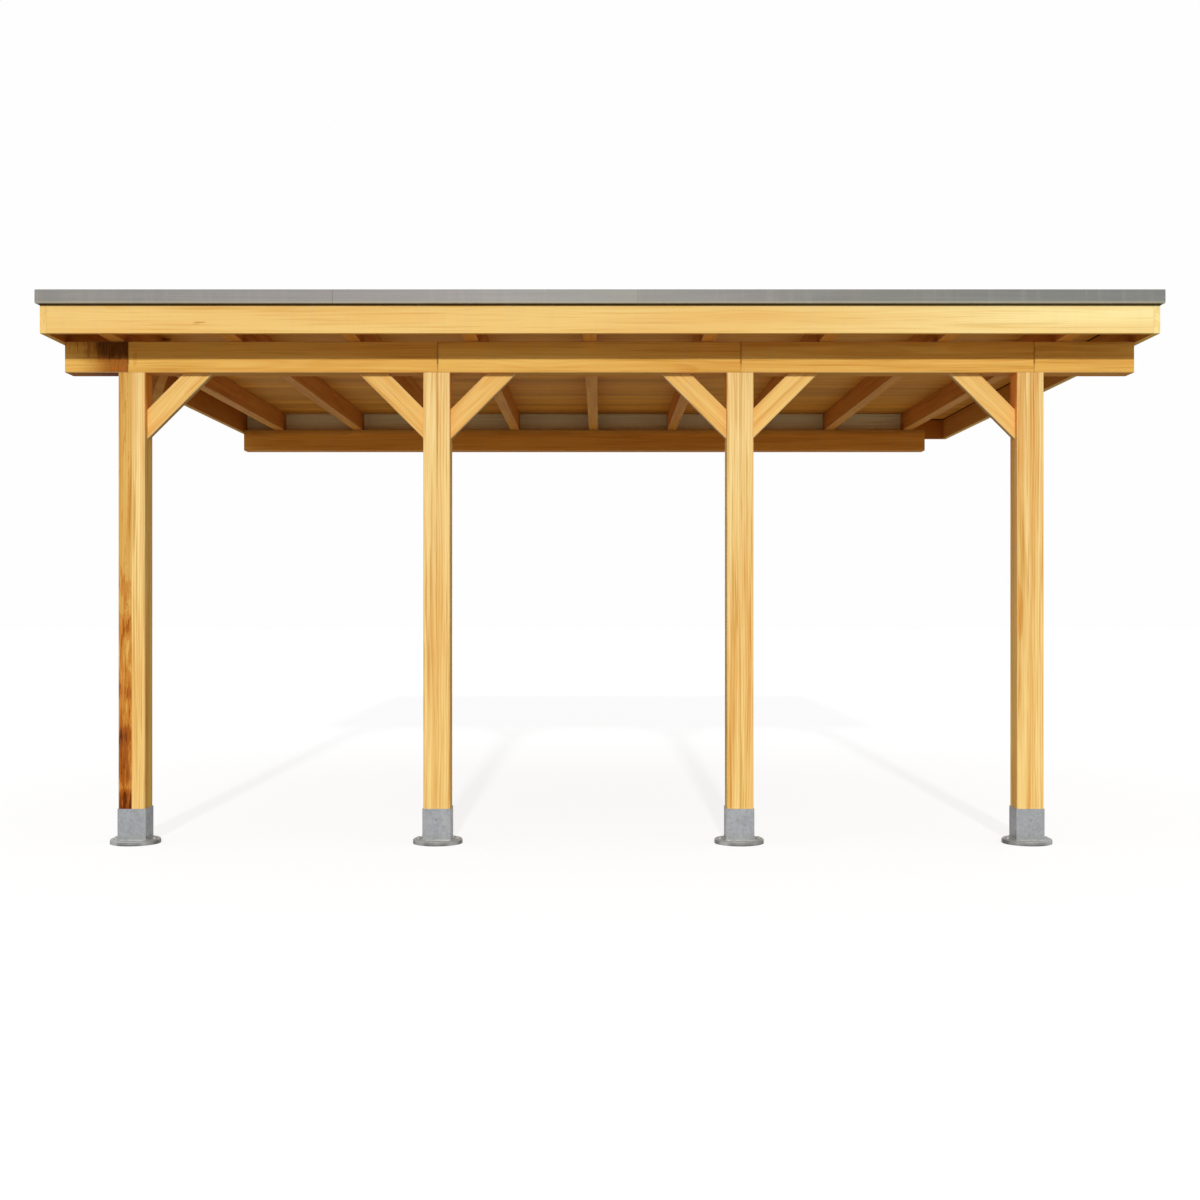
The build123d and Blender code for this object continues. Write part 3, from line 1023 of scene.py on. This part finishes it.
steel = {
    "light": tint(151, 153, 156), "dark": tint(131, 134, 137),
    # the top tint paints light on faces that look up, the rim tint paints shade on the flange's
    # side
    "topTint": (1.75, 1.75, 1.62, 1), "rimTint": (0.78, 0.78, 0.75, 1),
    "bolt": tint(186, 188, 186), "boltDark": tint(150, 152, 152),
    "screw": tint(148, 150, 152), "screwDark": tint(122, 124, 125),
    "splash": tint(132, 128, 116), "splashHeight": 0.07, "splashAmount": 0.3,
    # painted shade: this dark grey lines the foot and darkens the flange's far sides
    "damp": tint(88, 86, 80), "dampHeights": (0.009, 0.004), "dampAmount": 0.75,
    "endsHeight": 0.004,  # painted shade: the flange's far sides are painted darker up to here above it
    # on zinc the edge colour paints highlights on the rounded edges
    "worn": tint(214, 216, 218), "wear": 0.5, "dustOnTop": 0.3, "dustStreaks": 0.12,
    "spangleScale": 95.0, "spangleShare": 0.3, "cloudScale": 14.0, "cloudShare": 0.75,
    "darker": (0.25, 0.85), "rougher": (0.2, 0.9), "roughness": (0.38, 0.6),
    "upward": (0.8, 0.95), "sideways": (0.35, 0.8), "rimDepths": (0.0002, 0.001),
    "bumpDepth": 0.0003, "shine": 0.5, "metallic": 0.25,
}


def zincMaterial(name, light, dark, top=(1, 1, 1, 1)):
    # dull zinc: spangles, splashes near the ground, painted light on faces that look up, painted
    # shade on the flange's side and far sides, and a painted dark line at the foot
    material = newMaterial(name)
    where = objectPlace()
    flake = put("TexVoronoi", {"Vector": where, "Scale": steel["spangleScale"]})
    spangle = firstOut("SeparateColor", {0: flake.outputs["Color"]})
    cloud = noise(where, steel["cloudScale"], detail=4.0, roughness=0.6)
    amount = timesPlus(spangle, steel["spangleShare"], times(cloud, steel["cloudShare"]))
    shade = blend(stretch(amount, *steel["darker"]), light, dark)
    level = parts(where)[2]
    facing = parts(facingOf())
    splash = stretch(level, groundZ + steel["splashHeight"], groundZ)
    shade = blend(times(splash, steel["splashAmount"]), shade, steel["splash"])
    # painted light: faces that look up are lighter
    shade = tinted(shade, top, stretch(facing[2], *steel["upward"]))
    # painted shade on the flange's side, below its top
    rim = stretch(level, *(flangeTop - depth for depth in steel["rimDepths"]))
    shade = tinted(shade, steel["rimTint"], rim)
    # painted shade: a dark line at the foot and on the flange's far sides
    foot = stretch(level, *(groundZ + height for height in steel["dampHeights"]))
    ends = stretch(calc("ABSOLUTE", facing[0]), *steel["sideways"])
    ends = times(ends, stretch(level, flangeTop + steel["endsHeight"], flangeTop))
    for damp in (foot, ends):
        shade = blend(times(damp, steel["dampAmount"]), shade, steel["damp"])
    rough = stretch(amount, *steel["rougher"], *steel["roughness"])
    height = timesPlus(spangle, steel["spangleShare"], cloud)
    return finishMaterial(material, wearHighlightAndDust(shade, steel), rough, height, steel)


shoeZinc = zincMaterial("shoeZinc", steel["light"], steel["dark"], steel["topTint"])
boltZinc = zincMaterial("boltZinc", steel["bolt"], steel["boltDark"])
screwZinc = zincMaterial("screwZinc", steel["screw"], steel["screwDark"])
shoeSpots = []
for number in range(1, 5):
    dress(f"post_shoe_{number}", shoeZinc)
    middle = middleOf(f"post_shoe_{number}")
    shoeSpots.append((middle.x, middle.y))

anchors = {
    "spacing": 0.174,
    "build": {"washerRadius": 0.0125, "washerThickness": 0.002, "washerTop": 0.96,
              "washerSides": 28, "nutRadius": 0.0098, "nutHeight": 0.005, "crown": 0.16,
              "crownTop": 0.86, "studRadius": 0.0048, "studRise": 0.0015, "studTip": 0.0012,
              "studTop": 0.7, "studSides": 14, "seed": 11,
              "turn": 6.28},  # each stands turned by chance, up to this many radians
}


def makeAnchorTree(values):
    # a washer, a nut with a chamfered crown, and the stud's end
    given = startBuild("anchorNuts", values)
    nutHeight, nutRadius = given.nutHeight, given.nutRadius
    studRadius, thick = given.studRadius, given.washerThickness

    def disc(sides, radius, topShare, depth, up=0.0):
        # a short cone or cylinder, lifted by up
        cone = shape("MeshCone", {
            "Vertices": sides, "Radius Top": times(radius, topShare),
            "Radius Bottom": radius, "Depth": depth})
        return shape("Transform", {0: cone, "Translation": vectorOf(0.0, 0.0, up)})

    crown = times(nutHeight, given.crown)
    straight = minus(nutHeight, crown)
    studHeight = plus(nutHeight, given.studRise)
    join = put("GeometryNodeJoinGeometry")
    for piece in (disc(given.washerSides, given.washerRadius, given.washerTop, thick),
                  disc(6, nutRadius, 1.0, straight, thick),
                  disc(6, nutRadius, given.crownTop, crown, plus(thick, straight)),
                  disc(given.studSides, studRadius, 1.0, studHeight, thick),
                  disc(given.studSides, studRadius, given.studTop, given.studTip,
                       plus(thick, studHeight))):
        bench.tree.links.new(piece, join.inputs[0])
    spin = put("FunctionNodeRandomValue", {"Seed": given.seed}).outputs[1]
    rotation = vectorOf(0.0, 0.0, times(spin, given.turn))
    every = onPoints(given.Geometry, join.outputs[0], {"Rotation": rotation})
    return endBuild(every, given)


values = dict(anchors["build"], finish=boltZinc)
growPiece("anchor_nuts", makeAnchorTree(values), values,
          [(x + side * anchors["spacing"] / 2, y, flangeTop) for x, y in shoeSpots
           for side in (-1, 1)])

welds = {
    "lift": 0.001,
    "build": {"sleeve": 0.128, "corner": 0.005, "cornerSteps": 4, "bead": 0.0042,
              "beadSides": 8, "steps": 180, "ripple": 0.0014, "rippleMiddle": 0.55,
              "rippleScale": 210.0},
}


def makeWeldTree(values):
    # a rippled bead round the sleeve's foot
    given = startBuild("weldBeads", values)
    path = rectangle(given.sleeve, given.sleeve)
    path = rounded(path, given.cornerSteps, given.corner)
    path = shape("ResampleCurve", {"Curve": path, "Count": given.steps})
    ring = shape("CurvePrimitiveCircle", {"Resolution": given.beadSides, "Radius": given.bead})
    wave = noise(shape("InputPosition"), given.rippleScale, detail=1.0)
    push = times(minus(wave, given.rippleMiddle), given.ripple)
    push = grown(shape("InputNormal"), push)
    rippled = placed(swept(path, ring), {"Offset": push})
    return endBuild(onPoints(given.Geometry, rippled), given)


values = dict(welds["build"], finish=boltZinc)
growPiece("weld_beads", makeWeldTree(values), values,
          [(x, y, flangeTop + welds["lift"]) for x, y in shoeSpots], True)

screws = {
    "aboveGround": 0.113,
    "build": {"radius": 0.0085, "topShare": 0.8, "height": 0.0022, "sides": 18,
              "recess": 0.0045, "recessDepth": 0.0016},
}


def makeScrewTree(values):
    # a low domed head with a round recess
    given = startBuild("recessedScrews", values)
    top = times(given.radius, given.topShare)
    head = put("GeometryNodeMeshCone", {
        "Vertices": given.sides, "Radius Top": top, "Radius Bottom": given.radius,
        "Depth": given.height}).outputs
    lip = put("GeometryNodeExtrudeMesh", {
        "Mesh": head[0], "Selection": head["Top"], "Offset Scale": 0.0,
        "Individual": False}).outputs
    narrowed = shape("ScaleElements", {
        "Geometry": lip[0], "Selection": lip["Top"], "Scale": calc("DIVIDE", given.recess, top)})
    sunk = shape("ExtrudeMesh", {
        "Mesh": narrowed, "Selection": lip["Top"], "Individual": False,
        "Offset Scale": times(given.recessDepth, -1.0)})
    every = onPoints(given.Geometry, sunk, {"Rotation": given.facing})
    return endBuild(every, given)


values = dict(screws["build"], facing=(0, 0, 0), finish=screwZinc)
screwTree = makeScrewTree(values)
halfSleeve = welds["build"]["sleeve"] / 2
for face, outward in (("front", -1), ("rear", 1)):
    values["facing"] = (-quarterTurn * outward, 0, 0)
    growPiece(f"sleeve_screws_{face}", screwTree, values,
              [(x, y + outward * halfSleeve, groundZ + screws["aboveGround"])
               for x, y in shoeSpots])
print("shoes and fixings finished")


# Light, and a floor that shows almost white but returns less light than that to the object

light = {
    "skyStrength": 0.55, "backdrop": 0.99,
    "keyStrength": 1.99, "keyElevation": 17.7, "keySoftness": 2.0,  # both angles in degrees
    "floorShade": (0.5, 0.5, 0.5, 1),  # how much light the floor returns
    "floorGlow": 0.8,  # how bright it shows by itself
    "floorShown": (0.3, 0.3, 0.3, 1),  # how much of the light on it shows
    "floorReach": 60.0,
}

scene.world = bpy.data.worlds.new("studio")
clearNodes(scene.world)
seen = put("LightPath").outputs
direct = calc("MAXIMUM", calc("MAXIMUM", seen["Is Camera Ray"], seen["Is Glossy Ray"]),
              seen["Is Transmission Ray"])
strength = stretch(direct, 0.0, 1.0, light["skyStrength"], light["backdrop"], False)
sky = firstOut("Background", {"Color": (1, 1, 1, 1), "Strength": strength})
put("OutputWorld", {"Surface": sky})

key = addObject("key", bpy.data.lights.new("key", "SUN"))
key.data.energy = light["keyStrength"]
key.data.angle = math.radians(light["keySoftness"])
key.rotation_euler = (quarterTurn - math.radians(light["keyElevation"]), 0, 0)

floorMesh = bpy.data.meshes.new("floor")
reach = light["floorReach"]
floorMesh.from_pydata([(-reach, -reach, groundZ), (reach, -reach, groundZ),
                       (reach, reach, groundZ), (-reach, reach, groundZ)], [], [(0, 1, 2, 3)])
material = newMaterial("paleFloor")
seen = put("LightPath").outputs
plain = firstOut("BsdfDiffuse", {"Color": light["floorShade"]})
faint = firstOut("BsdfDiffuse", {"Color": light["floorShown"]})
glow = firstOut("Emission", {"Color": (1, 1, 1, 1), "Strength": light["floorGlow"]})
shown = firstOut("AddShader", {0: glow, 1: faint})
direct = calc("MAXIMUM", seen["Is Camera Ray"], seen["Is Glossy Ray"])
both = firstOut("MixShader", {0: direct, 1: plain, 2: shown})
put("OutputMaterial", {"Surface": both})
floorMesh.materials.append(material)
addObject("floor", floorMesh)
scene.view_settings.view_transform = "Standard"
print("lights and floor set")
